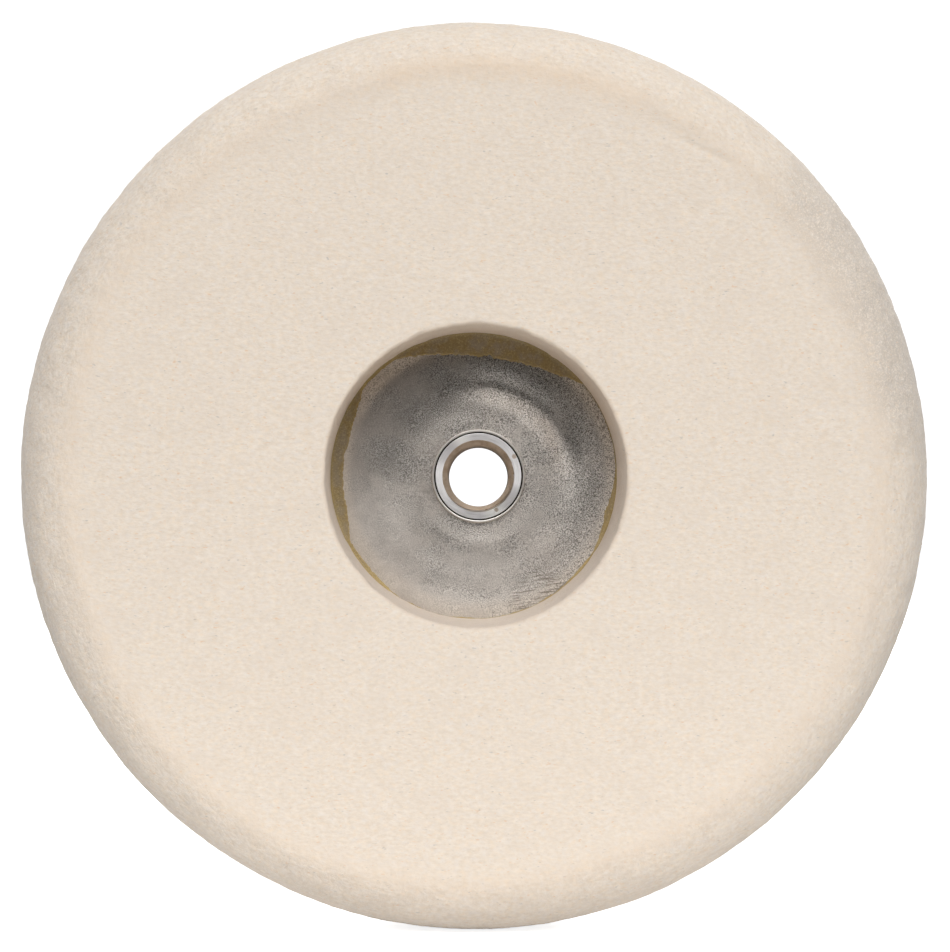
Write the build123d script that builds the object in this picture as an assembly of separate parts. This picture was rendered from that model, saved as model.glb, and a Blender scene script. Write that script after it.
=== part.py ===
"""A felt polishing wheel for an angle polisher, in millimetres.

A thick ring of pressed wool felt is bonded to a pressed steel plate. The plate carries a hexagonal weld hub
with an M14 x 2 spindle thread. The wheel spins about Y. Its polishing face looks along -Y and its spindle
seat looks along +Y. The origin is the centre of the wheel's overall box, on the spindle axis.
"""

import os
from math import radians, sin, sqrt, tan

from build123d import *

# Felt ring
FELT_DIAMETER = 170.0
FELT_THICKNESS = 24.0
FELT_HOLE_DIAMETER = 55.6
SHOULDER_WIDTH = 11.0  # how far the front rounding reaches in from the rim
SHOULDER_DEPTH = 10.0  # how far it reaches back from the polishing face
BACK_EDGE_RADIUS = 4.0
HOLE_EDGE_RADIUS = 0.6

# Cured adhesive: the bond line, and what squeezed out of it on both sides
BOND_THICKNESS = 0.4
CREEP = 2.5  # how far the inner squeeze-out runs onto the dish
CREEP_THICKNESS = 0.25
RIM_BEAD = 1.6  # leg of the bead around the plate's rim

# Pressed steel plate
PLATE_DIAMETER = 120.0
PLATE_THICKNESS = 2.0
PLATE_HOLE_DIAMETER = 17.1
DISH_RADIUS = 27.0  # the dish starts just inside the felt's hole
DISH_DEPTH = 0.9
DISH_FLOOR_RADIUS = 16.0
DISH_BEND = 60.0  # bend radius at both edges of the dish's slope, at mid thickness
RIM_BEND = 2.6  # bend radius of the outer edge, at mid thickness
RIM_TURN = 2.0  # how far the outer edge turns back
RIM_TURN_ANGLE = 60.0
COLLAR_WIDTH = 0.4
COLLAR_HEIGHT = 0.3

# Weld hub
HUB_LENGTH = 20.0
PILOT_DIAMETER = 16.75
PILOT_INSET = 0.1  # the pilot ends this far behind the dish's floor
HEX_ACROSS_FLATS = 22.0
HEX_CHAMFER_ANGLE = 30.0
SEAT_DIAMETER = 21.0
THREAD_MAJOR_DIAMETER = 14.0
THREAD_PITCH = 2.0
THREAD_MINOR_DIAMETER = THREAD_MAJOR_DIAMETER - 1.0825 * THREAD_PITCH
MOUTH_DIAMETER = 14.0

# Fillet welds along alternate flats of the hexagon
WELD_COUNT = 3
WELD_LEG = 2.0
WELD_LENGTH = 9.0

# Stations along the spindle axis, from the polishing face to the spindle seat
OVERALL_DEPTH = FELT_THICKNESS + BOND_THICKNESS + DISH_DEPTH + PILOT_INSET + HUB_LENGTH
FACE_Y = -OVERALL_DEPTH / 2
FELT_BACK_Y = FACE_Y + FELT_THICKNESS
PLATE_Y = FELT_BACK_Y + BOND_THICKNESS
DISH_FLOOR_Y = PLATE_Y + DISH_DEPTH
PILOT_Y = DISH_FLOOR_Y + PILOT_INSET
WELD_Y = DISH_FLOOR_Y + PLATE_THICKNESS
SEAT_Y = PILOT_Y + HUB_LENGTH


def turned(*points):
    """A solid of revolution about the spindle axis, from the (radius, y) corners of half its section."""
    return revolve(make_face(Polyline(*points, close=True)), Axis.Y)


def ring(inner_radius, outer_radius, start_y, end_y):
    """A plain ring about the spindle axis."""
    return turned(
        (inner_radius, start_y),
        (outer_radius, start_y),
        (outer_radius, end_y),
        (inner_radius, end_y),
    )


def felt_ring():
    """The felt: a flat polishing face, a broad rounded shoulder, a straight rim and a softened back edge."""
    rim = FELT_DIAMETER / 2
    hole = FELT_HOLE_DIAMETER / 2
    shoulder_centre = (rim - SHOULDER_WIDTH, FACE_Y + SHOULDER_DEPTH)
    shoulder = EllipticalCenterArc(shoulder_centre, SHOULDER_WIDTH, SHOULDER_DEPTH, 270, arc_size=90)
    back_edge = CenterArc((rim - BACK_EDGE_RADIUS, FELT_BACK_Y - BACK_EDGE_RADIUS), BACK_EDGE_RADIUS, 0, 90)
    hole_edge = CenterArc((hole + HOLE_EDGE_RADIUS, FACE_Y + HOLE_EDGE_RADIUS), HOLE_EDGE_RADIUS, 180, 90)
    hole_back = (hole, FELT_BACK_Y)
    outline = [
        hole_edge,
        Line(hole_edge @ 1, shoulder @ 0),
        shoulder,
        Line(shoulder @ 1, back_edge @ 0),
        back_edge,
        Line(back_edge @ 1, hole_back),
        Line(hole_back, hole_edge @ 0),
    ]
    return revolve(make_face(outline), Axis.Y)


def plate_midline():
    """The pressing's middle surface, from the spindle hole out to the turned-back rim."""
    mid = PLATE_Y + PLATE_THICKNESS / 2
    rim = (PLATE_DIAMETER - PLATE_THICKNESS * sin(radians(RIM_TURN_ANGLE))) / 2
    turn_start = rim - RIM_TURN / tan(radians(RIM_TURN_ANGLE))
    return FilletPolyline(
        (PLATE_HOLE_DIAMETER / 2, mid + DISH_DEPTH),
        (DISH_FLOOR_RADIUS, mid + DISH_DEPTH),
        (DISH_RADIUS, mid),
        (turn_start, mid),
        (rim, mid + RIM_TURN),
        radius=(DISH_BEND, DISH_BEND, RIM_BEND),
    )


def backing_plate():
    """The pressed plate: a flat land for the felt, a shallow dish and a collar."""
    sheet = revolve(trace(plate_midline(), line_width=PLATE_THICKNESS), Axis.Y)
    hole = PLATE_HOLE_DIAMETER / 2
    collar_end_y = DISH_FLOOR_Y + PLATE_THICKNESS / 2
    return sheet + ring(hole, hole + COLLAR_WIDTH, DISH_FLOOR_Y - COLLAR_HEIGHT, collar_end_y)


def adhesive_bond():
    """The cured adhesive: a bond line that crept onto the dish and left a bead round the plate's rim."""
    hole = FELT_HOLE_DIAMETER / 2
    rim = PLATE_DIAMETER / 2
    creep_end = hole - CREEP
    dish_slope = DISH_DEPTH / (DISH_RADIUS - DISH_FLOOR_RADIUS)
    creep_drop = dish_slope * (DISH_RADIUS - creep_end)
    bond = turned(
        (creep_end, PLATE_Y + creep_drop - CREEP_THICKNESS),
        (DISH_RADIUS, PLATE_Y - CREEP_THICKNESS),
        (hole, PLATE_Y - CREEP_THICKNESS),
        (hole, FELT_BACK_Y),
        (rim + RIM_BEAD, FELT_BACK_Y),
        (rim, FELT_BACK_Y + RIM_BEAD),
        (rim - PLATE_THICKNESS, PLATE_Y + PLATE_THICKNESS),
        (creep_end, PLATE_Y + creep_drop + CREEP_THICKNESS),
    )
    return bond - backing_plate()


def hexagon_envelope():
    """The solid of revolution that the hexagon's chamfered corners just touch."""
    corner = HEX_ACROSS_FLATS / sqrt(3)
    seat = SEAT_DIAMETER / 2
    drop = (corner - seat) * tan(radians(HEX_CHAMFER_ANGLE))
    return turned((0, WELD_Y), (corner, WELD_Y), (corner, SEAT_Y - drop), (seat, SEAT_Y), (0, SEAT_Y))


def threaded_hub():
    """The weld hub: a round pilot through the plate, a hexagon behind it and the thread's minor bore."""
    seat_plane = Plane(origin=(0, SEAT_Y, 0), x_dir=(1, 0, 0), z_dir=(0, -1, 0))
    outline = RegularPolygon(HEX_ACROSS_FLATS / 2, 6, major_radius=False)
    hexagon = extrude(seat_plane * outline, SEAT_Y - WELD_Y)
    pilot = ring(0, PILOT_DIAMETER / 2, PILOT_Y, WELD_Y)
    mouth = MOUTH_DIAMETER / 2
    bore = THREAD_MINOR_DIAMETER / 2
    bevel = mouth - bore
    opening = turned(
        (0, PILOT_Y),
        (mouth, PILOT_Y),
        (bore, PILOT_Y + bevel),
        (bore, SEAT_Y - bevel),
        (mouth, SEAT_Y),
        (0, SEAT_Y),
    )
    return (hexagon & hexagon_envelope()) + pilot - opening


def weld_bead():
    """One fillet weld in the corner between the plate and the flat that faces +Z, with rounded ends."""
    flat = HEX_ACROSS_FLATS / 2
    straight = WELD_LENGTH - 2 * WELD_LEG
    rod = Pos(0, WELD_Y, flat) * Rot(0, 90, 0) * Cylinder(WELD_LEG, straight)
    ends = [Pos(side * straight / 2, WELD_Y, flat) * Sphere(WELD_LEG) for side in (-1, 1)]
    open_corner = Box(WELD_LENGTH, WELD_LEG, WELD_LEG, align=(Align.CENTER, Align.MIN, Align.MIN))
    return (rod + ends) & Pos(0, WELD_Y, flat) * open_corner


def hub_weld_beads():
    """The fillet welds that hold the hub to the back of the plate, on every other flat of the hexagon."""
    return Compound(children=[Rot(0, turn * 360 / WELD_COUNT, 0) * weld_bead() for turn in range(WELD_COUNT)])


def write_parts():
    """Writes one STEP file per piece."""
    pieces = {
        "felt_ring": felt_ring(),
        "adhesive_bond": adhesive_bond(),
        "backing_plate": backing_plate(),
        "threaded_hub": threaded_hub(),
        "hub_weld_beads": hub_weld_beads(),
    }
    os.makedirs("parts", exist_ok=True)
    for name, shape in pieces.items():
        export_step(shape, f"parts/{name}.step")


write_parts()
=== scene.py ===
"""The looks of the felt polishing wheel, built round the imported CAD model. Everything is in metres."""

from itertools import product

import bmesh
import bpy
import numpy as np
from mathutils import Matrix, Vector


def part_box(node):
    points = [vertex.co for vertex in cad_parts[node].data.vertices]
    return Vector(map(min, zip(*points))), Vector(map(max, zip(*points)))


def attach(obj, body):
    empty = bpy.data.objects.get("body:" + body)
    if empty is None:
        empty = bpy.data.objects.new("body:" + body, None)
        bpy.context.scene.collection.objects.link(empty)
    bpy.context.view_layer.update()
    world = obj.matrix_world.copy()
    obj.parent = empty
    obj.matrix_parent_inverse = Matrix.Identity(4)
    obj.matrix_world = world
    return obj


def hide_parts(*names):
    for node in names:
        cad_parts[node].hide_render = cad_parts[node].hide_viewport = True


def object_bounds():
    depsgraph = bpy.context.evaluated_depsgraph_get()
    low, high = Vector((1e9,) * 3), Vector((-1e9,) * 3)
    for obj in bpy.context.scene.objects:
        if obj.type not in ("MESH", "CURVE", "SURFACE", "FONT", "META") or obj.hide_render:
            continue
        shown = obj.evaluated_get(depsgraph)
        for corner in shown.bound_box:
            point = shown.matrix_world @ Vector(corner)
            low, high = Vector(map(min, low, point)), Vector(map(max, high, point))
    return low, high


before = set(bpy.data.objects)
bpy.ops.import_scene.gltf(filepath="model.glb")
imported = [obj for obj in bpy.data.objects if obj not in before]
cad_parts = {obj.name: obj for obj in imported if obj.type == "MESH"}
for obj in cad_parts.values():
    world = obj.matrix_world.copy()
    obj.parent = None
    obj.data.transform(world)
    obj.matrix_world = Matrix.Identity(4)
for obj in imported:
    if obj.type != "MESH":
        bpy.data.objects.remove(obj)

CAD_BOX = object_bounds()
MM = 0.001
TAU = 2 * np.pi


# ---------------------------------------------------------------- sizes from the CAD model


def node_points(node):
    """A CAD node's vertices as an array of x, y, z."""
    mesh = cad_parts[node].data
    points = np.zeros(len(mesh.vertices) * 3)
    mesh.vertices.foreach_get("co", points)
    return points.reshape(-1, 3)


def node_radii(node):
    """The smallest and largest distance of a CAD node's vertices from the spindle axis."""
    points = node_points(node)
    distance = np.hypot(points[:, 0], points[:, 2])
    return distance.min(), distance.max()


FACE_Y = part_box("felt_ring")[0].y
FELT_BACK_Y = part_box("felt_ring")[1].y
HOLE_RADIUS, FELT_RADIUS = node_radii("felt_ring")
PLATE_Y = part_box("backing_plate")[0].y
PLATE_HOLE_RADIUS, PLATE_RADIUS = node_radii("backing_plate")
PILOT_Y, SEAT_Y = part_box("threaded_hub")[0].y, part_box("threaded_hub")[1].y
BORE_RADIUS, HUB_CORNER_RADIUS = node_radii("threaded_hub")
WELD_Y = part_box("hub_weld_beads")[0].y

# The plate's section, front side, as CAD has it
PLATE_THICKNESS = 2.0 * MM
DISH_DEPTH = 0.9 * MM
DISH_RADIUS = 27.0 * MM
DISH_FLOOR_RADIUS = 16.0 * MM
DISH_BEND = 60.0 * MM
RIM_BEND = 2.6 * MM
RIM_TURN = 2.0 * MM
RIM_TURN_RUN = 1.155 * MM
COLLAR_WIDTH = 0.4 * MM
COLLAR_HEIGHT = 0.3 * MM

# The hub, as CAD has it
PILOT_RADIUS = 8.375 * MM
HEX_APOTHEM = 11.0 * MM
SEAT_RADIUS = 10.5 * MM
HEX_CHAMFER_SLOPE = 0.577
MOUTH_RADIUS = 7.0 * MM
THREAD_MAJOR_RADIUS = 7.0 * MM
THREAD_PITCH = 2.0 * MM


# ---------------------------------------------------------------- mesh helpers


MERGE_DISTANCE = 1e-7
# Edges over these angles, in degrees, stay crisp on the pressed plate and on the turned hub
SHARP_PRESSED, SHARP_TURNED = 50, 24
LATTICE_SIZE = 32
LATTICE = np.random.default_rng(11).random((LATTICE_SIZE,) * 3)


def noise(points, size, shift):
    """Smooth random values from -1 to 1 at points[..., 3].

    size is the spacing of their features, one number or one per axis. shift picks other values.
    """
    cell = points / np.asarray(size) + shift
    base = np.floor(cell).astype(int)
    t = cell - base
    t = t * t * (3 - 2 * t)
    total = np.zeros(points.shape[:-1])
    for corner in product((0, 1), repeat=3):
        weight = np.prod(np.where(corner, t, 1 - t), axis=-1)
        at = (base + corner) % LATTICE_SIZE
        total += weight * LATTICE[at[..., 0], at[..., 1], at[..., 2]]
    return total * 2 - 1


def bumps(points, *terms):
    """A height at each of points[..., 3], summed from terms of (height, spacing, shift of the noise)."""
    return sum(height * noise(points, spacing, shift) for height, spacing, shift in terms)


def waves(angles, *terms):
    """A height at each angle round the wheel, from terms as in bumps with their spacing along the rim."""
    ring = np.stack([np.cos(angles), np.zeros_like(angles), np.sin(angles)], -1) * FELT_RADIUS
    return bumps(ring, *terms)


def smooth_step(low, high, value):
    """0 below low, 1 above high and a smooth rise between."""
    t = np.clip((value - low) / (high - low), 0, 1)
    return t * t * (3 - 2 * t)


def line(start, end, steps):
    """Evenly spaced points from start up to but not including end."""
    t = np.linspace(0, 1, steps, endpoint=False)[:, None]
    return np.array(start) * (1 - t) + np.array(end) * t


def bent(corners, radii, steps=6):
    """A polyline's points with each inner corner replaced by an arc of the given radius."""
    corners = np.array(corners)
    points = [corners[0]]
    for before, corner, after, radius in zip(corners, corners[1:], corners[2:], radii):
        into = (before - corner) / np.linalg.norm(before - corner)
        out = (after - corner) / np.linalg.norm(after - corner)
        half = np.arccos(np.clip(into @ out, -1, 1)) / 2
        reach = radius / np.tan(half)
        start, end = corner + into * reach, corner + out * reach
        for t in np.linspace(0, 1, steps):
            points.append((1 - t) ** 2 * start + 2 * t * (1 - t) * corner + t**2 * end)
    points.append(corners[-1])
    return np.array(points)


def resampled(points, spacing):
    """Points along a polyline no further apart than spacing, keeping its own points."""
    rows = []
    for start, end in zip(points, points[1:]):
        pieces = max(1, int(np.ceil(np.linalg.norm(end - start) / spacing)))
        rows.append(line(start, end, pieces))
    rows.append(points[-1:])
    return np.concatenate(rows)


def turned(section, angles):
    """Points[turn, step] of a section (radius, y) turned about the spindle axis."""
    radius, y = section[..., 0], section[..., 1]
    if section.ndim == 2:
        radius, y = np.tile(radius, (len(angles), 1)), np.tile(y, (len(angles), 1))
    return np.stack([radius * np.cos(angles)[:, None], y, radius * np.sin(angles)[:, None]], -1)


def grid_normals(points):
    """Unit normals of a closed grid of points[turn, step, 3]."""
    along = np.roll(points, -1, 0) - np.roll(points, 1, 0)
    across = np.roll(points, -1, 1) - np.roll(points, 1, 1)
    normal = np.cross(along, across)
    return normal / np.maximum(np.linalg.norm(normal, axis=-1, keepdims=True), 1e-12)


def new_object(name, vertices, faces):
    """An object from arrays of vertices and quads, with smooth shading and outward normals."""
    mesh = bpy.data.meshes.new(name)
    mesh.from_pydata(vertices.reshape(-1, 3).tolist(), [], faces.tolist())
    shape = bmesh.new()
    shape.from_mesh(mesh)
    bmesh.ops.remove_doubles(shape, verts=shape.verts, dist=MERGE_DISTANCE)
    bmesh.ops.recalc_face_normals(shape, faces=shape.faces)
    shape.to_mesh(mesh)
    shape.free()
    mesh.shade_smooth()
    piece = bpy.data.objects.new(name, mesh)
    bpy.context.scene.collection.objects.link(piece)
    return piece


def grid_faces(turns, steps, close_turn=True, close_step=True):
    """Quads joining a grid's points to their neighbours, round the wheel and round the section."""
    index = np.arange(turns * steps).reshape(turns, steps)
    if close_turn:
        index = np.concatenate([index, index[:1]], 0)
    if close_step:
        index = np.concatenate([index, index[:, :1]], 1)
    corners = [index[:-1, :-1], index[1:, :-1], index[1:, 1:], index[:-1, 1:]]
    return np.stack(corners, -1).reshape(-1, 4)


def sharpen(piece, degrees):
    """Keeps edges sharper than an angle crisp in the shading."""
    piece.data.set_sharp_from_angle(angle=np.radians(degrees))


def add_piece(piece, node, slot, *materials):
    """Gives a piece its materials and puts it in the frame in place of a CAD node."""
    for material in materials:
        piece.data.materials.append(material)
    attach(piece, "root")
    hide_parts(node)
    return piece


def store(piece, **values):
    """Stores arrays as numbers per vertex, in the order of the piece's vertices."""
    for name, numbers in values.items():
        layer = piece.data.attributes.new(name, "FLOAT", "POINT")
        layer.data.foreach_set("value", numbers.astype(np.float32).ravel())


# ---------------------------------------------------------------- node helpers


class Nodes:
    """Builds a material's node tree with short calls. Every call returns an output socket."""

    def __init__(self, name):
        self.material = bpy.data.materials.new(name)
        self.material.use_nodes = True
        self.tree = self.material.node_tree
        self.shader = self.tree.nodes["Principled BSDF"]
        self.position = self.add("ShaderNodeTexCoord").outputs["Object"]

    def add(self, kind, **values):
        """A new node with some of its properties set."""
        node = self.tree.nodes.new(kind)
        for key, value in values.items():
            setattr(node, key, value)
        return node

    def feed(self, socket, value):
        """Links a socket to an input, or sets the input to a plain value."""
        if isinstance(value, bpy.types.NodeSocket):
            self.tree.links.new(value, socket)
        else:
            socket.default_value = value

    def set(self, **values):
        """Feeds inputs of the Principled shader, with _ for spaces in their names."""
        for key, value in values.items():
            self.feed(self.shader.inputs[key.replace("_", " ")], value)

    def maths(self, operation, *values):
        node = self.add("ShaderNodeMath", operation=operation)
        for socket, value in zip(node.inputs, values):
            self.feed(socket, value)
        return node.outputs[0]

    def times(self, a, b):
        return self.maths("MULTIPLY", a, b)

    def plus(self, a, b):
        return self.maths("ADD", a, b)

    def scaled(self, vector, factors):
        node = self.add("ShaderNodeVectorMath", operation="MULTIPLY")
        self.feed(node.inputs[0], vector)
        node.inputs[1].default_value = factors
        return node.outputs[0]

    def summed(self, a, b):
        node = self.add("ShaderNodeVectorMath", operation="ADD")
        self.feed(node.inputs[0], a)
        self.feed(node.inputs[1], b)
        return node.outputs[0]

    def texture(self, vector, size, detail=2.0, roughness=0.5, distortion=0.0, colour=False):
        """Noise whose features are about size apart in the vector's units."""
        node = self.add("ShaderNodeTexNoise")
        self.feed(node.inputs["Vector"], vector)
        node.inputs["Scale"].default_value = 1 / size
        node.inputs["Detail"].default_value = detail
        node.inputs["Roughness"].default_value = roughness
        node.inputs["Distortion"].default_value = distortion
        return node.outputs["Color" if colour else "Fac"]

    def ranged(self, value, low, high, start=0.0, end=1.0, smooth=True):
        """Maps low..high to start..end, held beyond both."""
        node = self.add("ShaderNodeMapRange", interpolation_type="SMOOTHSTEP" if smooth else "LINEAR")
        self.feed(node.inputs["Value"], value)
        for name, number in zip(("From Min", "From Max", "To Min", "To Max"), (low, high, start, end)):
            self.feed(node.inputs[name], number)
        return node.outputs[0]

    def mix(self, share, a, b):
        """Colours a and b mixed by share."""
        node = self.add("ShaderNodeMix", data_type="RGBA", blend_type="MIX")
        self.feed(node.inputs[0], share)
        self.feed(node.inputs[6], a if isinstance(a, bpy.types.NodeSocket) else (*a, 1))
        self.feed(node.inputs[7], b if isinstance(b, bpy.types.NodeSocket) else (*b, 1))
        return node.outputs[2]

    def tinted(self, colour, tint, value, low, high, share=1.0):
        """The colour turned towards a tint, by up to share, as a value goes from low to high."""
        return self.mix(self.ranged(value, low, high, 0, share), colour, tint)

    def attribute(self, name):
        return self.add("ShaderNodeAttribute", attribute_name=name).outputs["Fac"]

    def parts(self):
        """The position's x, y and z."""
        split = self.add("ShaderNodeSeparateXYZ")
        self.feed(split.inputs[0], self.position)
        return split.outputs

    def axis_parts(self):
        """(distance from the spindle axis, y, angle about the axis)."""
        x, y, z = self.parts()
        squares = self.plus(self.times(x, x), self.times(z, z))
        return self.maths("SQRT", squares), y, self.maths("ARCTAN2", z, x)

    def blot(self, x, z, reach, soft):
        """1 near a place and 0 more than reach from it, with a ragged border."""
        away = self.add("ShaderNodeVectorMath", operation="DISTANCE")
        self.feed(away.inputs[0], self.scaled(self.position, (1, 0, 1)))
        away.inputs[1].default_value = (x, 0, z)
        depth = 0.9 * reach
        ragged = self.times(self.texture(self.position, 0.5 * reach, 3, 0.6), depth)
        distance = self.plus(away.outputs["Value"], ragged)
        border = reach + depth / 2
        return self.ranged(distance, border - soft, border + soft, 1, 0)

    def rotated(self, angle):
        """The position turned about the spindle axis."""
        node = self.add("ShaderNodeVectorRotate", rotation_type="Y_AXIS")
        self.feed(node.inputs["Vector"], self.position)
        node.inputs["Angle"].default_value = angle
        return node.outputs[0]

    def vector(self, x, y, z):
        node = self.add("ShaderNodeCombineXYZ")
        for socket, value in zip(node.inputs, (x, y, z)):
            self.feed(socket, value)
        return node.outputs[0]

    def grey(self, value):
        return self.vector(value, value, value)

    def bump(self, height, distance, strength):
        """A normal tilted by a height from 0 to 1 that stands for distance."""
        node = self.add("ShaderNodeBump")
        self.feed(node.inputs["Height"], height)
        node.inputs["Distance"].default_value = distance
        self.feed(node.inputs["Strength"], strength)
        return node.outputs[0]


# ---------------------------------------------------------------- felt

FELT_TURNS = 900
SHOULDER_WIDTH = 10.5 * MM
SHOULDER_DEPTH = 9.5 * MM
BACK_EDGE = 4.0 * MM
HOLE_EDGE = 0.9 * MM
RIM_INSET = 0.1 * MM  # keeps the rim's waves inside the CAD wheel
# The stretches of the felt's section, from the foot of its hole forward and round: their steps, and for a
# stretch that is a quarter of an ellipse, whether its radius or its y changes first
FELT_STRETCHES = ((44, None), (8, "y"), (96, None), (56, "radius"), (24, None), (14, "y"), (60, None))
# How the trimming varies round the wheel: height of its waves, their spacing on the rim, shift of the noise
RIM_WAVES = (0.12 * MM, 40 * MM, 3.3)
WIDTH_WAVES = (1.3 * MM, 32 * MM, 7.1)
DEPTH_WAVES = (1.0 * MM, 45 * MM, 1.7)
# The felt was bonded and its hole cut by hand, so neither sits quite on the axis: (x, z) of each
FELT_SHIFT = np.array([-0.65, -0.3]) * MM
HOLE_FRONT_SHIFT = np.array([-0.4, -0.5]) * MM
HOLE_BACK_SHIFT = np.array([-0.8, -0.2]) * MM
# A small crease beside the seam, by the (x, z) places of its ends
FOLD = ((38.2 * MM, 61.6 * MM), (46.8 * MM, 57.4 * MM))
FOLD_HEIGHT, FOLD_WIDTH = 0.2 * MM, 0.55 * MM
# Where handling has marked the felt: x, z, reach, softness of the border
YELLOWED_SEAM = (4 * MM, 78 * MM, 24 * MM, 8 * MM)
GRUBBY_SHOULDER = (76 * MM, 34 * MM, 27 * MM, 9 * MM)
# The felt's bumps, zone by zone: height, spacing (one number, or one per axis), shift of the noise
BUMPS_ALL_OVER = ((0.13 * MM, 26 * MM, 0.4), (0.05 * MM, 7 * MM, 5.2))
BUMPS_ON_FACE = ((0.03 * MM, (1.7 * MM, 1.7 * MM, 0.8 * MM), 2.6),)
BUMPS_ON_TRIMMED = ((0.06 * MM, 1.1 * MM, 8.2), (0.05 * MM, (6.0 * MM, 0.9 * MM, 6.0 * MM), 6.4))
LUMPS_ON_SHOULDER = ((0.26 * MM, 9 * MM, 1.1),)
KNOTS_ON_SHOULDER = ((0.15 * MM, 3.2 * MM, 4.8),)
PILLS_ON_GRUBBY = ((0.22 * MM, 1.6 * MM, 3.7),)
BUMPS_ON_WALL = ((0.14 * MM, 2.6 * MM, 3.9),)
# The groove of the seam between face and shoulder: depth, and how it varies along the seam
SEAM_DEPTH, SEAM_WAVES = 0.13 * MM, ((0.12 * MM, 14 * MM, 9.5),)


def hole_back_radius(angles):
    """The felt hole's radius where it meets the plate, seen from the spindle axis."""
    return HOLE_RADIUS + HOLE_BACK_SHIFT[0] * np.cos(angles) + HOLE_BACK_SHIFT[1] * np.sin(angles)


def stretch(start, end, steps, bend=None):
    """Points[turn, step] of a section (radius, y) from start[turn] up to end[turn], straight or bent."""
    t = np.linspace(0, 1, steps, endpoint=False)[:, None]
    early, late = np.sin(t * TAU / 4), 1 - np.cos(t * TAU / 4)
    share = {None: (t, t), "radius": (early, late), "y": (late, early)}[bend]
    return start[:, None] + (end - start)[:, None] * np.concatenate(share, 1)


def felt_sections(angles):
    """The felt's section at each angle as (radius, y), closed, and the radius where its shoulder starts."""
    rim = FELT_RADIUS - RIM_INSET + waves(angles, RIM_WAVES)
    shoulder = rim - SHOULDER_WIDTH - waves(angles, WIDTH_WAVES)
    depth = SHOULDER_DEPTH + waves(angles, DEPTH_WAVES)
    places = (
        (HOLE_RADIUS, FELT_BACK_Y),
        (HOLE_RADIUS, FACE_Y + HOLE_EDGE),
        (HOLE_RADIUS + HOLE_EDGE, FACE_Y),
        (shoulder, FACE_Y),
        (rim, FACE_Y + depth),
        (rim, FELT_BACK_Y - BACK_EDGE),
        (rim - BACK_EDGE, FELT_BACK_Y),
    )
    corners = [np.stack(np.broadcast_arrays(*place, angles)[:2], -1) for place in places]
    ends = zip(corners, corners[1:] + corners[:1], FELT_STRETCHES)
    return np.concatenate([stretch(start, end, *how) for start, end, how in ends], 1), shoulder


def felt_zones(sections, shoulder_start):
    """How much each point belongs to the shoulder and rim, the hole's wall, the seam and the back."""
    radius, y = sections[..., 0], sections[..., 1]
    start = shoulder_start[:, None]
    back = smooth_step(FELT_BACK_Y - 0.4 * MM, FELT_BACK_Y, y)
    shoulder = smooth_step(start - 5 * MM, start + 4 * MM, radius) * (1 - back)
    wall = (1 - smooth_step(HOLE_RADIUS, HOLE_RADIUS + HOLE_EDGE, radius)) * (1 - back)
    seam = np.exp(-(((radius - start - 0.5 * MM) / (2.2 * MM)) ** 2)) * (1 - back)
    return shoulder, wall, seam, back


def distance_from(points, start, end):
    """Distance in the wheel's plane from the straight line between two (x, z) places."""
    start, run = np.array(start), np.subtract(end, start)
    away = points[..., [0, 2]] - start
    share = np.clip(away @ run / (run @ run), 0, 1)[..., None]
    return np.linalg.norm(away - share * run, axis=-1)


def displaced_felt(points, zones):
    """The felt's points moved along their normals by its unevenness."""
    shoulder, wall, seam, back = zones
    face = (1 - shoulder) * (1 - wall) * (1 - back)
    radius = np.hypot(points[..., 0], points[..., 2])
    bonded = smooth_step(PLATE_RADIUS + 3 * MM, PLATE_RADIUS + 6 * MM, radius)
    rim = smooth_step(FELT_RADIUS - 2 * MM, FELT_RADIUS, radius)
    height = bumps(points, *BUMPS_ALL_OVER) + face * bumps(points, *BUMPS_ON_FACE)
    height += shoulder * (1 - 0.7 * rim) * bumps(points, *LUMPS_ON_SHOULDER)
    height += shoulder * (1 - 0.6 * rim) * bumps(points, *KNOTS_ON_SHOULDER)
    height += (shoulder + wall) * bumps(points, *BUMPS_ON_TRIMMED)
    x, z, reach, _ = GRUBBY_SHOULDER
    grubby = np.exp(-((np.hypot(points[..., 0] - x, points[..., 2] - z) / reach) ** 2))
    height += shoulder * grubby * np.abs(bumps(points, *PILLS_ON_GRUBBY))
    height += wall * bumps(points, *BUMPS_ON_WALL)
    height += FOLD_HEIGHT * np.exp(-((distance_from(points, *FOLD) / FOLD_WIDTH) ** 2)) * (1 - wall)
    height -= seam * (SEAM_DEPTH + bumps(points, *SEAM_WAVES))
    height *= 1 - back * (1 - bonded)
    height = np.where(back > 0.5, np.minimum(height * bonded, 0.0), height)
    return points + grid_normals(points) * height[..., None]


def shifted_felt(points):
    """Moves the rim and the two ends of the hole to their own centres."""
    radius = np.hypot(points[..., 0], points[..., 2])
    outward = np.clip((radius - HOLE_RADIUS) / (FELT_RADIUS - HOLE_RADIUS), 0, 1)[..., None]
    depth = np.clip((points[..., 1] - FACE_Y) / (FELT_BACK_Y - FACE_Y), 0, 1)[..., None]
    hole_shift = HOLE_FRONT_SHIFT * (1 - depth) + HOLE_BACK_SHIFT * depth
    shift = hole_shift * (1 - outward) + FELT_SHIFT * outward
    return points + np.stack([shift[..., 0], np.zeros_like(radius), shift[..., 1]], -1)


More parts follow.
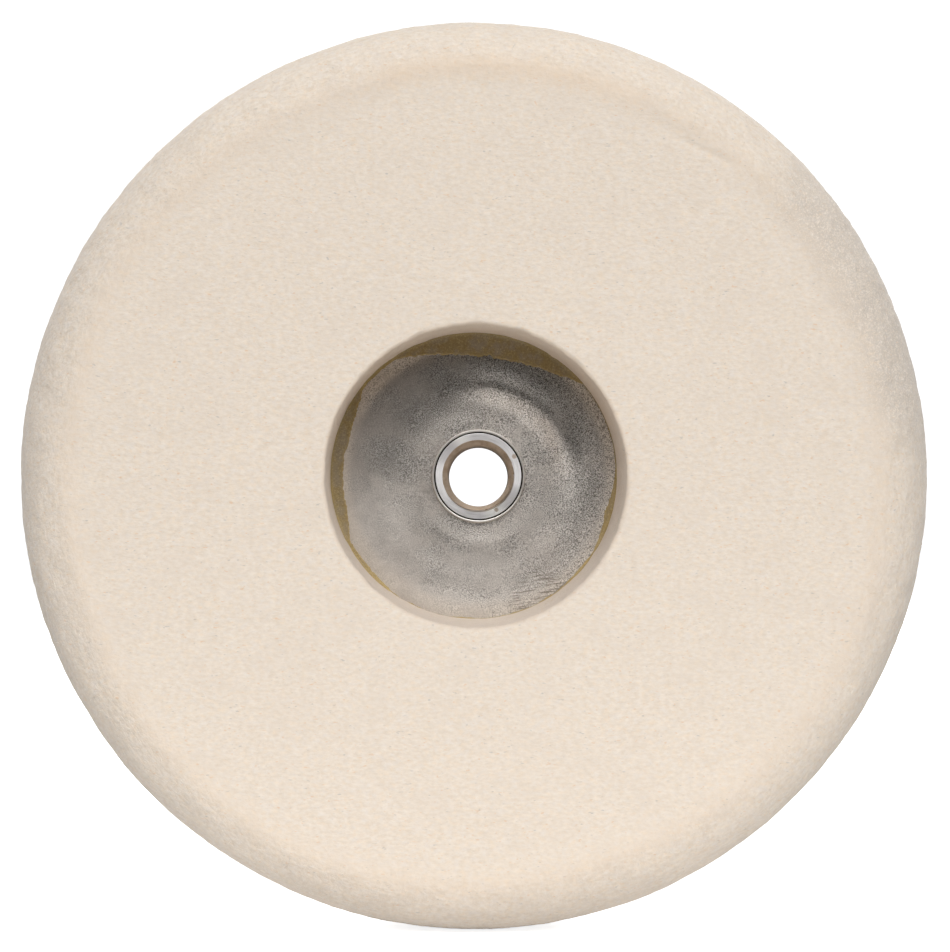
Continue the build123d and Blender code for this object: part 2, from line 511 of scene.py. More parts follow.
FIBRE_COUNT = 5000
FIBRE_SHARES = (0.35, 1.3, 1.6)  # how thickly they lie everywhere, and on top of that on shoulder and wall
FIBRE_STEPS = 9
FIBRE_SIDES = 3
FIBRE_REACH = (0.6 * MM, 2.2 * MM)  # half a fibre's length, shortest and longest
FIBRE_RADIUS = (0.018 * MM, 0.034 * MM)
FIBRE_LIFT = (0.02 * MM, 0.05 * MM)  # least, and the mean of what comes on top
FIBRE_SPREAD, FIBRE_CURL = 0.3, 0.45  # scatter of their heading and of their bend, in radians


def fibre_mesh(spines, radius):
    """Thin tubes along spines[fibre, step, 3], pointed at both ends."""
    count, steps = spines.shape[:2]
    along = np.gradient(spines, axis=1)
    along /= np.linalg.norm(along, axis=-1, keepdims=True)
    side = np.cross(along, [0.3, 0.9, 0.3])
    side /= np.linalg.norm(side, axis=-1, keepdims=True)
    up = np.cross(along, side)
    thickness = radius[:, None, None] * (0.15 + 0.85 * np.sin(np.linspace(0, np.pi, steps)) ** 0.5)[:, None]
    turns = np.arange(FIBRE_SIDES) * TAU / FIBRE_SIDES
    vertices = np.stack([spines + (side * np.cos(a) + up * np.sin(a)) * thickness for a in turns], 2)
    one = grid_faces(steps, FIBRE_SIDES, False, True)
    faces = (one[None] + (np.arange(count) * steps * FIBRE_SIDES)[:, None, None]).reshape(-1, 4)
    return vertices.reshape(-1, 3), faces


def make_fibres(material, points, zones):
    """Loose wool fibres lying on the felt: across the face, every way on its trimmed sides."""
    shoulder, wall, _, back = zones
    everywhere, on_shoulder, on_wall = FIBRE_SHARES
    share = everywhere + on_shoulder * shoulder + on_wall * wall
    area = np.hypot(points[..., 0], points[..., 2]) * np.linalg.norm(np.roll(points, -1, 1) - points, axis=-1)
    chance = (share * area * (back < 0.5)).ravel()
    random = np.random.default_rng(5)
    chosen = random.choice(chance.size, FIBRE_COUNT, p=chance / chance.sum())
    place, normal = points.reshape(-1, 3)[chosen], grid_normals(points).reshape(-1, 3)[chosen]
    sides = np.maximum(shoulder, wall).ravel()[chosen]
    heading = np.where(random.random(FIBRE_COUNT) < sides, random.uniform(-1.6, 1.6, FIBRE_COUNT), 0)
    heading += random.normal(0, FIBRE_SPREAD, FIBRE_COUNT)
    lie = np.cross(normal, np.array([0.0, 0.35, 1.0]))
    lie /= np.linalg.norm(lie, axis=-1, keepdims=True)
    cross = np.cross(normal, lie)
    t = np.linspace(-1, 1, FIBRE_STEPS)[None, :, None]
    half = random.uniform(*FIBRE_REACH, FIBRE_COUNT)[:, None, None]
    turn = (heading[:, None] + random.normal(0, FIBRE_CURL, FIBRE_COUNT)[:, None] * t[..., 0])[..., None]
    spines = place[:, None] + half * t * (lie[:, None] * np.cos(turn) + cross[:, None] * np.sin(turn))
    least, more = FIBRE_LIFT
    rise = random.exponential(more, (FIBRE_COUNT, 1, 1))
    slope = random.uniform(-1, 1, (FIBRE_COUNT, 1, 1))
    spines += normal[:, None] * (least + rise * (1 + t * slope))
    vertices, faces = fibre_mesh(spines, random.uniform(*FIBRE_RADIUS, FIBRE_COUNT))
    piece = new_object("loose_fibres", vertices, faces)
    tint = np.repeat(random.random(FIBRE_COUNT), FIBRE_STEPS * FIBRE_SIDES)
    store(piece, tint=tint)
    return add_piece(piece, "felt_ring", "wool_felt", material)


def fibre_material():
    """Single wool hairs, most of them cream and a few tan or grey."""
    n = Nodes("wool fibres")
    tint = n.attribute("tint")
    shade = n.texture(n.position, 1.5 * MM, 2)
    colour = n.mix(n.ranged(shade, 0.3, 0.7), (0.86, 0.79, 0.70), (0.76, 0.67, 0.57))
    colour = n.tinted(colour, (0.66, 0.50, 0.34), tint, 0.82, 0.86)
    colour = n.tinted(colour, (0.40, 0.36, 0.33), tint, 0.95, 0.97)
    n.set(Base_Color=colour, Roughness=0.8, Specular_IOR_Level=0.25, Sheen_Weight=0.2)
    return n.material


def make_felt(material, hairs):
    """The felt ring and the loose fibres on it."""
    angles = np.linspace(0, TAU, FELT_TURNS, endpoint=False)
    sections, shoulder_start = felt_sections(angles)
    zones = felt_zones(sections, shoulder_start)
    points = shifted_felt(displaced_felt(turned(sections, angles), zones))
    make_fibres(hairs, points, zones)
    piece = new_object("wool_felt", points, grid_faces(*points.shape[:2]))
    shoulder, wall, seam, _ = zones
    store(piece, shoulder=shoulder, wall=wall, seam=seam)
    return add_piece(piece, "felt_ring", "wool_felt", material)


def felt_material():
    """Matted wool: fibres across the face, pills and layers on the trimmed sides, flecks of darker hair."""
    n = Nodes("wool felt")
    radius, y, angle = n.axis_parts()
    shoulder, wall, seam = (n.attribute(name) for name in ("shoulder", "wall", "seam"))
    side = n.maths("MAXIMUM", shoulder, wall)
    # Share for the painted light and shade on the hole's wall: lighter towards the top, darker towards the
    # bottom
    painted_wall_light = n.ranged(n.parts()[2], -24 * MM, 20 * MM)
    drift = n.scaled(n.texture(n.position, 9 * MM, 2, colour=True), (1.5 * MM,) * 3)
    warped = n.summed(n.position, drift)
    lying = n.texture(n.scaled(warped, (0.48, 0.8, 1.0)), 0.55 * MM, 4, 0.62)
    round_rim = n.vector(n.times(angle, 30 * MM), y, n.times(radius, 0.8))
    layers = n.texture(round_rim, 0.5 * MM, 4, 0.62)
    pills = n.texture(n.position, 0.8 * MM, 5, 0.66)
    flat = n.ranged(lying, 0.28, 0.72, smooth=False)
    trimmed = n.ranged(n.plus(pills, layers), 0.76, 1.24, smooth=False)
    fibres = n.mix(side, n.grey(flat), n.grey(trimmed))
    tints = n.texture(n.summed(n.scaled(warped, (0.6, 0.8, 1.0)), (0.3, 0.1, 0.2)), 0.8 * MM, 3, 0.6)
    blotches = n.texture(n.position, 7 * MM, 4, 0.6)
    colour = n.mix(fibres, (0.678, 0.577, 0.472), (0.785, 0.702, 0.61))
    colour = n.tinted(colour, (0.79, 0.64, 0.475), tints, 0.5, 0.72, 0.4)
    colour = n.tinted(colour, (0.72, 0.665, 0.62), tints, 0.5, 0.3, 0.42)
    colour = n.tinted(colour, (0.69, 0.60, 0.51), blotches, 0.45, 0.72, 0.35)
    tan = n.texture(n.scaled(warped, (0.4, 0.7, 1.0)), 0.42 * MM, 1, 0.5)
    colour = n.tinted(colour, (0.70, 0.47, 0.28), tan, 0.68, 0.79, 0.6)
    grey = n.texture(n.summed(n.scaled(warped, (0.35, 0.7, 1.0)), (1.0, 2.0, 3.0)), 0.38 * MM, 1, 0.5)
    colour = n.tinted(colour, (0.42, 0.39, 0.37), grey, 0.70, 0.80, 0.55)
    colour = n.mix(n.times(seam, 0.2), colour, (0.70, 0.555, 0.42))
    yellowed = n.times(seam, n.blot(*YELLOWED_SEAM))
    colour = n.mix(n.times(yellowed, 0.28), colour, (0.74, 0.57, 0.41))
    grubby = n.times(shoulder, n.blot(*GRUBBY_SHOULDER))
    grit = n.texture(n.position, 0.33 * MM, 3, 0.7)
    colour = n.mix(n.times(grubby, n.ranged(grit, 0.62, 0.42, 0.12, 0.72)), colour, (0.54, 0.48, 0.42))
    colour = n.mix(n.times(grubby, n.ranged(grit, 0.58, 0.66, 0, 0.4)), colour, (0.88, 0.83, 0.76))
    # Painted light and shade on the hole's wall: its pinker colour is lighter towards the top and darker
    # towards the bottom.
    colour = n.mix(n.times(wall, 0.6), colour, n.mix(painted_wall_light, (0.58, 0.48, 0.39), (1.0, 0.84, 0.67)))
    n.set(
        Base_Color=colour,
        Roughness=0.95,
        Specular_IOR_Level=0.15,
        Sheen_Weight=0.25,
        Sheen_Roughness=0.6,
        Normal=n.bump(fibres, 0.09 * MM, n.plus(0.4, n.times(side, 0.6))),
    )
    return n.material


# ---------------------------------------------------------------- adhesive

# Where glue crept onto the dish: middle and half spread in degrees from +X towards +Z, reach, bluntness
SQUEEZE_OUTS = (
    (84, 44, 4.7 * MM, 2),
    (136, 26, 0.55 * MM, 4),
    (176, 34, 2.5 * MM, 4),
    (214, 26, 0.9 * MM, 2),
    (344, 24, 1.3 * MM, 1),
    (318, 22, 0.6 * MM, 1),
)
ADHESIVE_TURNS = 720
# Elsewhere it only lines the wall: usual width, how that varies (as in bumps), least width
LINE_WIDTH, LINE_WAVES, LINE_LEAST = 0.12 * MM, (0.2 * MM, 9 * MM, 2.2), 0.06 * MM
# The ragged border (terms as in bumps, in shares), how much of it comes with the reach, and how much always
BORDER_WAVES = ((1.0, 16 * MM, 6.6), (0.6, 6 * MM, 0.9), (0.6, 2.2 * MM, 3.1), (0.7, 1.1 * MM, 5.9))
BORDER_SHARE, BORDER_HEIGHT = 0.05, 0.09 * MM
LEAST_REACH = 0.08 * MM
# The film's thickness and the width of its rounded nose, its lip beside the nose, its fillet up the wall
FILM, FILM_NOSE = 0.14 * MM, 0.15 * MM
LIP_HEIGHT, LIP_FROM_TIP, LIP_WIDTH = 0.05 * MM, 0.25 * MM, 0.2 * MM
FILLET_HEIGHT, FILLET_WIDTH = 0.4 * MM, 0.2 * MM
RIM_BEAD = 1.6 * MM
# How the fillet and the bead vary, as shares
LUMPS = ((0.35, 9 * MM, 4.1), (0.25, 2 * MM, 7.7))


def squeeze_out_radius(angles):
    """Where the film on the dish ends, at each angle."""
    reach = np.maximum(LINE_WIDTH + waves(angles, LINE_WAVES), LINE_LEAST)
    for middle, spread, length, bluntness in SQUEEZE_OUTS:
        turn = np.abs((np.degrees(angles) - middle + 180) % 360 - 180) / spread
        reach = np.maximum(reach, length * (1 - np.minimum(turn, 1) ** bluntness))
    wobble = waves(angles, *BORDER_WAVES)
    reach += (BORDER_SHARE * reach + BORDER_HEIGHT) * wobble
    return hole_back_radius(angles) - np.maximum(reach, LEAST_REACH)


def make_adhesive(material):
    """The film on the dish, the bond behind the felt and the bead round the plate's rim, in one skin."""
    angles = np.linspace(0, TAU, ADHESIVE_TURNS, endpoint=False)
    tip, wall = squeeze_out_radius(angles), hole_back_radius(angles)
    lumps = 1 + waves(angles, *LUMPS)
    rows, edges = [], []

    def add(radius, y, edge=0.0):
        rows.append(np.stack(np.broadcast_arrays(radius, y), -1))
        edges.append(np.broadcast_to(edge, angles.shape))

    for t in np.linspace(0, 1, 22):
        radius = tip + (wall - tip) * t
        from_tip, from_wall = radius - tip, wall - radius
        lip = LIP_HEIGHT * np.exp(-(((from_tip - LIP_FROM_TIP) / LIP_WIDTH) ** 2))
        rise = FILM * np.minimum(1, from_tip / FILM_NOSE) ** 0.5 + lip
        rise += FILLET_HEIGHT * np.exp(-from_wall / FILLET_WIDTH) * lumps * t
        edge = np.exp(-from_tip / (0.3 * MM)) + np.exp(-from_wall / (0.5 * MM))
        add(radius, plate_front(radius, angles) - rise, np.minimum(edge, 1))
    add(wall + 0.5 * MM, FELT_BACK_Y - 0.1 * MM)
    for t in np.linspace(0, 1, 10):
        add(wall + 0.8 * MM + (PLATE_RADIUS - wall - 0.8 * MM) * t, FELT_BACK_Y)
    for turn in np.radians(np.linspace(0, 90, 9)):
        bead = RIM_BEAD * lumps
        add(PLATE_RADIUS - 0.3 * MM + bead * np.cos(turn), FELT_BACK_Y + bead * np.sin(turn), 0.6)
    for t in np.linspace(0, 1, 24):
        radius = PLATE_RADIUS - 0.6 * MM + (tip - PLATE_RADIUS + 0.7 * MM) * t
        add(radius, plate_front(radius, angles) + 0.05 * MM)
    points = turned(np.stack(rows, 1), angles)
    piece = new_object("squeezed_out_adhesive", points, grid_faces(*points.shape[:2]))
    store(piece, edge=np.stack(edges, 1))
    return add_piece(piece, "adhesive_bond", "cured_adhesive", material)


def adhesive_material():
    """Brown contact glue: a dull olive film with amber edges, full of small grains."""
    n = Nodes("cured adhesive")
    patches = n.texture(n.position, 3.2 * MM, 3, 0.6)
    grains = n.texture(n.position, 0.3 * MM, 3, 0.7)
    colour = n.mix(n.ranged(patches, 0.38, 0.62), (0.30, 0.225, 0.10), (0.30, 0.25, 0.175))
    colour = n.mix(n.times(n.attribute("edge"), 0.8), colour, (0.42, 0.31, 0.12))
    colour = n.tinted(colour, (0.66, 0.52, 0.28), grains, 0.5, 0.75, 0.7)
    colour = n.tinted(colour, (0.16, 0.11, 0.04), grains, 0.45, 0.25, 0.7)
    n.set(
        Base_Color=colour,
        Roughness=n.ranged(grains, 0.3, 0.7, 0.3, 0.6),
        Specular_IOR_Level=0.4,
        Normal=n.bump(grains, 0.1 * MM, 0.7),
    )
    return n.material


# ---------------------------------------------------------------- backing plate

PLATE_TURNS = 720
# A dent that the press left beside the dish's floor, with a low crest inside it: middle and spread in degrees
DENT_TURN, DENT_SPREAD = 50, 48
DENT_RADIUS, DENT_WIDTH, DENT_DEPTH = 17.9 * MM, 2.4 * MM, 0.5 * MM
CREST_RADIUS, CREST_WIDTH, CREST_HEIGHT = 13.4 * MM, 2.0 * MM, 0.08 * MM
# How the sheet waves (as in bumps), and the slope of the dish's floor, which fades out between two radii
PRESS_WAVES = ((0.035 * MM, 11 * MM, 2.9), (0.012 * MM, 4.5 * MM, 6.1))
FLOOR_TILT, TILT_FADE = 0.012, (14 * MM, 24 * MM)
# The gap between the collar and the hub, and how round the collar's edges are
HUB_GAP = 0.09 * MM
COLLAR_SOFT = 0.13 * MM
# Marks on the sheet: x, z, reach, softness of the border
SCUFFS = (12.5 * MM, -25 * MM, 6 * MM, 2 * MM)
TARNISH = (
    (-4.5 * MM, 12.5 * MM, 7 * MM, 4 * MM),
    (19.5 * MM, -3.5 * MM, 4.5 * MM, 3 * MM),
    (-16 * MM, 3 * MM, 4.5 * MM, 3 * MM),
    (8 * MM, 21 * MM, 9 * MM, 5 * MM),
    (-11 * MM, 11 * MM, 4 * MM, 4 * MM),
)
RUBBED = (
    (11 * MM, -4 * MM, 7.5 * MM, 4 * MM),
    (8 * MM, 6 * MM, 4 * MM, 3 * MM),
    (0.0, -21 * MM, 10 * MM, 7 * MM),
    (-20 * MM, -9 * MM, 7 * MM, 5 * MM),
)
# Painted shade: a near-black colour for the narrow gap between the plate's collar and the hub's pilot
GAP_SHADE = (0.032, 0.024, 0.018)  # in the gap round the hub
# How far the plate and hub sit from the felt's middle
PLATE_SHIFT = np.array([0.12, 0.0, -0.25]) * MM


def plate_section():
    """The plate's front and back faces as (radius, y) points, from the hole to the rim."""
    mid = PLATE_Y + PLATE_THICKNESS / 2
    rim = PLATE_RADIUS - PLATE_THICKNESS / 2 * np.sin(np.radians(60))
    corners = (
        (PLATE_HOLE_RADIUS, mid + DISH_DEPTH),
        (DISH_FLOOR_RADIUS, mid + DISH_DEPTH),
        (DISH_RADIUS, mid),
        (rim - RIM_TURN_RUN, mid),
        (rim, mid + RIM_TURN),
    )
    middle = resampled(bent(corners, (DISH_BEND, DISH_BEND, RIM_BEND), 12), 0.4 * MM)
    along = np.gradient(middle, axis=0)
    along /= np.linalg.norm(along, axis=1, keepdims=True)
    across = np.stack([along[:, 1], -along[:, 0]], 1) * PLATE_THICKNESS / 2
    return middle + across, middle - across


def press_marks(radius, angles):
    """How far the real pressing's surface lies behind the ideal one."""
    turn = (np.degrees(angles) - DENT_TURN + 180) % 360 - 180
    share = np.exp(-((turn / DENT_SPREAD) ** 4))
    dent = DENT_DEPTH * np.exp(-(((radius - DENT_RADIUS) / DENT_WIDTH) ** 2))
    crest = CREST_HEIGHT * np.exp(-(((radius - CREST_RADIUS) / CREST_WIDTH) ** 2))
    points = np.stack(np.broadcast_arrays(radius * np.cos(angles), 0.0, radius * np.sin(angles)), -1)
    tilt = FLOOR_TILT * radius * np.sin(angles) * (1 - smooth_step(*TILT_FADE, radius))
    clear = smooth_step(HUB_CORNER_RADIUS - 3.5 * MM, HUB_CORNER_RADIUS + 1 * MM, radius)
    return (share * (dent - crest) + bumps(points, *PRESS_WAVES) + tilt) * clear


def plate_front(radius, angles):
    """The y of the sheet's front face, with its press marks."""
    front, _ = plate_section()
    return np.interp(radius, front[:, 0], front[:, 1]) + press_marks(radius, angles)


def make_plate(material):
    """The pressed plate, with the collar round its hole."""
    front, back = plate_section()
    hole, floor_y = PLATE_HOLE_RADIUS + HUB_GAP, front[0, 1]
    top = floor_y - COLLAR_HEIGHT
    collar = bent(
        (
            (hole, back[0, 1]),
            (hole, top),
            (hole + COLLAR_WIDTH, top),
            (hole + COLLAR_WIDTH + 0.05 * MM, floor_y),
            (hole + 3 * COLLAR_WIDTH, floor_y),
        ),
        (COLLAR_SOFT, COLLAR_SOFT, 0.08 * MM),
        6,
    )
    outer = front[front[:, 0] > hole + 3.2 * COLLAR_WIDTH]
    edge = bent((outer[-1], (outer[-1] + back[-1]) / 2 + [0.25 * MM, 0.15 * MM], back[-1]), (0.6 * MM,), 5)
    section = np.concatenate([collar, outer, edge[1:-1], back[::-1][:-1]])
    angles = np.linspace(0, TAU, PLATE_TURNS, endpoint=False)
    points = turned(section, angles)
    points[..., 1] += press_marks(np.hypot(points[..., 0], points[..., 2]), angles[:, None])
    points += PLATE_SHIFT
    piece = new_object("pressed_plate", points, grid_faces(*points.shape[:2]))
    sharpen(piece, SHARP_PRESSED)
    on_collar = (section[:, 0] < hole + COLLAR_WIDTH + 0.06 * MM) & (section[:, 1] < floor_y - 0.02 * MM)
    in_gap = (section[:, 0] < hole + 0.02 * MM) & (section[:, 1] > top + 1.5 * COLLAR_SOFT)
    store(piece, collar=np.tile(on_collar, (PLATE_TURNS, 1)), gap=np.tile(in_gap, (PLATE_TURNS, 1)))
    return add_piece(piece, "backing_plate", "pressed_steel", material)


def plate_material():
    """Bare pressed sheet: pits that crowd where it is dull and, as painted shade, to the top right; tarnish,
    scuffs, dust; a burnished collar with a painted highlight; painted shade in the gap.
    """
    n = Nodes("pressed steel")
    collar, gap = n.attribute("collar"), n.attribute("gap")
    x, _, z = n.parts()
    grain = n.texture(n.position, 0.21 * MM, 2, 0.75)
    coarse = n.texture(n.position, 1.6 * MM, 3, 0.6)
    stains = n.texture(n.position, 5.5 * MM, 4, 0.62, 0.4)
    # Partly painted shade: the pits and dark specks crowd towards the top and right, partly real pitting and
    # partly painted shade on the dish's darker upper side.
    rise = n.plus(n.times(z, 2.5), n.times(x, 7.5))
    dull = n.ranged(n.plus(stains, rise), 0.25, 0.72)
    colour = n.mix(n.ranged(stains, 0.38, 0.68), (0.47, 0.42, 0.375), (0.39, 0.355, 0.32))
    tarnish = 0.0
    for mark in TARNISH:
        tarnish = n.maths("MAXIMUM", tarnish, n.blot(*mark))
    dull = n.maths("MINIMUM", n.plus(dull, n.times(tarnish, 0.25)), 1.0)
    colour = n.mix(n.times(tarnish, 0.66), colour, (0.24, 0.225, 0.205))
    for mark in RUBBED:
        colour = n.mix(n.times(n.blot(*mark), 0.5), colour, (0.62, 0.57, 0.52))
    dust = n.times(n.ranged(n.axis_parts()[0], 23.9 * MM, 26.2 * MM), n.ranged(stains, 0.3, 0.55, 0.5, 1))
    dust = n.times(dust, n.ranged(z, -12 * MM, 0.0, 0.6, 0.95))
    colour = n.mix(dust, colour, (0.63, 0.565, 0.49))
    bright = n.times(n.ranged(grain, 0.48, 0.62), n.plus(0.17, n.times(dull, 0.5)))
    colour = n.mix(bright, colour, (0.86, 0.81, 0.75))
    pits = n.times(n.ranged(grain, 0.50, 0.38), n.plus(0.10, n.times(dull, 0.7)))
    colour = n.mix(pits, colour, (0.07, 0.062, 0.055))
    scuffs = n.texture(n.scaled(n.rotated(0.1), (0.07, 1.0, 1.0)), 0.32 * MM, 3, 0.6)
    scuffed = n.times(n.ranged(scuffs, 0.5, 0.6), n.blot(*SCUFFS))
    colour = n.mix(n.times(scuffed, 0.75), colour, (0.17, 0.14, 0.11))
    # The collar gets a much lighter steel: partly burnished metal, partly a painted highlight where its lip
    # catches the light.
    colour = n.mix(collar, colour, (0.74, 0.71, 0.67))
    # Painted shade: the collar's wall inside the narrow gap round the hub is coloured near black.
    colour = n.mix(gap, colour, GAP_SHADE)
    height = n.plus(grain, n.times(coarse, 0.5))
    n.set(
        Base_Color=colour,
        Metallic=n.maths("SUBTRACT", 1.0, n.times(dust, 0.8)),
        Roughness=n.ranged(coarse, 0.3, 0.7, 0.31, 0.38),
        Normal=n.bump(height, 0.03 * MM, n.maths("SUBTRACT", 1.0, collar)),
    )
    return n.material


# ---------------------------------------------------------------- threaded hub

HUB_TURNS = 384
HUB_SOFT = 0.07 * MM
HEXAGON_CRISPNESS = 90
CREST, FLANK, ROOT = 0.25, 0.3125, 0.125  # shares of the pitch
# Stains on the front ring: x, z, reach, softness of the border
RING_STAINS = (
    (7.1 * MM, 3.6 * MM, 0.45 * MM, 0.15 * MM),
    (3.6 * MM, -6.8 * MM, 0.4 * MM, 0.15 * MM),
)
# Fans of light and shade on the turned marks: degrees from +X towards +Z (and opposite), narrowness, colour
FANS = ((117, 0.75, (1.0, 0.99, 0.94)), (143, 0.6, (0.42, 0.405, 0.40)))


def hexagon_radius(angles):
    """Distance from the axis to a hexagon with flats at +Z and -Z and slightly rounded corners."""
    normals = np.radians(np.arange(6) * 60 + 30)
    facing = np.clip(np.cos(angles[:, None] - normals), 0, None)
    return HEX_APOTHEM / (facing**HEXAGON_CRISPNESS).sum(1) ** (1 / HEXAGON_CRISPNESS)


def thread_radius(turn):
    """The thread's radius at a share of its pitch: crest, flank, root, flank."""
    places = np.cumsum([0, CREST, FLANK, ROOT, FLANK])
    radii = (BORE_RADIUS, BORE_RADIUS, THREAD_MAJOR_RADIUS, THREAD_MAJOR_RADIUS, BORE_RADIUS)
    return np.interp(turn, places, radii)


def hub_outside(angles):
    """The hub's skin from the front mouth, over the pilot and the hexagon, to the mouth at the seat."""
    sections = []
    for corner in hexagon_radius(angles):
        chamfer_y = SEAT_Y - (corner - SEAT_RADIUS) * HEX_CHAMFER_SLOPE
        path = (
            (MOUTH_RADIUS, PILOT_Y),
            (PILOT_RADIUS, PILOT_Y),
            (PILOT_RADIUS, WELD_Y),
            (corner, WELD_Y),
            (corner, chamfer_y),
            (SEAT_RADIUS, SEAT_Y),
            (MOUTH_RADIUS, SEAT_Y),
        )
        sections.append(supported(bent(path, (HUB_SOFT, 0.05 * MM, 0.1 * MM, HUB_SOFT, HUB_SOFT), 4)))
    return turned(np.array(sections), angles)


def supported(points):
    """Splits each stretch of a polyline alike, with points near its ends that keep it flat between them."""
    shares = np.array([0, 0.03, 0.35, 0.65, 0.97])[:, None]
    return np.concatenate([a + (b - a) * shares for a, b in zip(points, points[1:])] + [points[-1:]])


def hub_bore(angles):
    """The threaded wall, from the front mouth to the seat. Its rows follow the helix."""
    shares = np.concatenate([np.linspace(0, CREST, 3)[:-1], CREST + np.linspace(0, FLANK, 5)[:-1]])
    shares = np.concatenate([shares, CREST + FLANK + np.array([0, 0.5, 1]) * ROOT])
    shares = np.concatenate([shares, 1 - np.linspace(FLANK, 0, 5)[1:-1]])
    turns = int(np.ceil((SEAT_Y - PILOT_Y) / THREAD_PITCH)) + 1
    places = (np.arange(-1, turns)[:, None] + shares).ravel()
    start = PILOT_Y + THREAD_PITCH * (angles[:, None] / TAU + places)
    y = np.clip(start, PILOT_Y, SEAT_Y)
    share = ((y - PILOT_Y) / THREAD_PITCH - angles[:, None] / TAU) % 1.0
    share = np.where(start == y, np.broadcast_to(places % 1.0, y.shape), share)
    bevel = MOUTH_RADIUS - np.minimum(y - PILOT_Y, SEAT_Y - y)
    return turned(np.stack([np.maximum(thread_radius(share), bevel), y], -1), angles)


def make_hub(steel, thread):
    """The hub's skin and its threaded bore, which has a material of its own."""
    angles = np.linspace(0, TAU, HUB_TURNS + 1)
    outside, bore = hub_outside(angles), hub_bore(angles)
    outer_faces = grid_faces(*outside.shape[:2], False, False)
    bore_faces = grid_faces(*bore.shape[:2], False, False) + outside[..., 0].size
    vertices = np.concatenate([outside.reshape(-1, 3), bore.reshape(-1, 3)])
    piece = new_object("turned_hub", vertices + PLATE_SHIFT, np.concatenate([outer_faces, bore_faces]))
    sharpen(piece, SHARP_TURNED)
    add_piece(piece, "threaded_hub", "turned_steel", steel, thread)
    for face in piece.data.polygons:
        centre = face.center
        distance = np.hypot(centre.x, centre.z)
        face.material_index = int(distance < MOUTH_RADIUS - 0.03 * MM)
    return piece


def hub_material():
    """Bright turned steel with fine tool marks round the axis, two stains, and painted shade, near black, in
    the gap round it.
    """
    n = Nodes("turned steel")
    radius, y, angle = n.axis_parts()
    rings = n.texture(n.vector(radius, y, n.times(angle, 0.3 * MM)), 0.15 * MM, 3, 0.6)
    broad = n.texture(n.position, 2.4 * MM, 3, 0.6)
    colour = n.mix(n.ranged(broad, 0.35, 0.7), (0.88, 0.86, 0.86), (0.80, 0.78, 0.775))
    colour = n.tinted(colour, (0.58, 0.565, 0.55), rings, 0.42, 0.66, 0.45)
    for middle, narrow, colour_there in FANS:
        fan = n.maths("COSINE", n.times(n.maths("SUBTRACT", angle, np.radians(middle)), 2))
        colour = n.tinted(colour, colour_there, fan, narrow, 1.0, 0.65)
    for mark in RING_STAINS:
        stain = n.times(n.blot(*mark), n.ranged(y, PILOT_Y + 0.3 * MM, PILOT_Y + 0.5 * MM, 0.7, 0))
        colour = n.mix(stain, colour, (0.42, 0.30, 0.19))
    # Painted shade: the hub's pilot, behind the front ring and inside the gap to the collar, is coloured near
    # black.
    behind_ring = n.ranged(y, PILOT_Y + 0.06 * MM, PILOT_Y + 0.14 * MM)
    gap_shade = n.times(behind_ring, n.ranged(radius, 7.5 * MM, 7.7 * MM))
    gap_shade = n.times(gap_shade, n.ranged(y, WELD_Y + 0.15 * MM, WELD_Y + 0.05 * MM))
    colour = n.mix(gap_shade, colour, GAP_SHADE)
    tangent = n.add("ShaderNodeTangent", direction_type="RADIAL", axis="Y").outputs[0]
    n.set(
        Base_Color=colour,
        Metallic=1.0,
        Roughness=n.ranged(broad, 0.3, 0.7, 0.36, 0.44),
        Anisotropic=0.3,
        Tangent=tangent,
        Normal=n.bump(rings, 0.015 * MM, 0.5),
    )
    return n.material


def thread_material():
    """Oil-browned steel, painted darker towards the bottom of the bore as painted shade."""
    n = Nodes("oiled thread")
    patches = n.texture(n.position, 1.6 * MM, 3, 0.6)
    colour = n.mix(n.ranged(patches, 0.35, 0.7), (0.56, 0.47, 0.38), (0.42, 0.325, 0.24))
    # Painted shade: the thread is coloured darker towards the bottom of the bore.
    painted_low_shade = n.ranged(n.parts()[2], 2 * MM, -6 * MM)
    colour = n.mix(n.times(painted_low_shade, 0.7), colour, (0.26, 0.20, 0.145))
    n.set(
        Base_Color=colour,
        Metallic=0.5,
        Roughness=0.42,
        Normal=n.bump(n.texture(n.position, 0.2 * MM, 3), 0.02 * MM, 0.4),
    )
    return n.material


# ---------------------------------------------------------------- welds

WELD_COUNT = 3
WELD_LEG = 2.0 * MM
WELD_LENGTH = 9.0 * MM
WELD_SUNK = 0.2 * MM  # how far its root lies inside the plate and hub
WELD_FILL, WELD_BOW, WELD_RIPPLE = 0.92, 0.10, 0.05  # shares of the leg
WELD_RIPPLES = 4.5


def weld_points():
    """One bead's points[along, round] in the corner between the plate and the flat that faces +Z."""
    along = np.linspace(-1, 1, 73)
    round_ = np.radians(np.linspace(-12, 102, 20))
    taper = np.sqrt(np.clip(1 - np.abs(along) ** 5, 0.0, 1))[:, None]
    middle = np.cos(2 * (round_ - TAU / 8))
    bow = WELD_BOW * middle
    ripple = WELD_RIPPLE * np.abs(np.sin((along[:, None] * WELD_RIPPLES - 0.22 * middle) * np.pi))
    leg = WELD_LEG * WELD_FILL * taper * (1 + bow + ripple)
    x = along[:, None] * WELD_LENGTH / 2 * np.ones_like(round_)
    return np.stack([x, WELD_Y + leg * np.sin(round_), HEX_APOTHEM + leg * np.cos(round_)], -1)


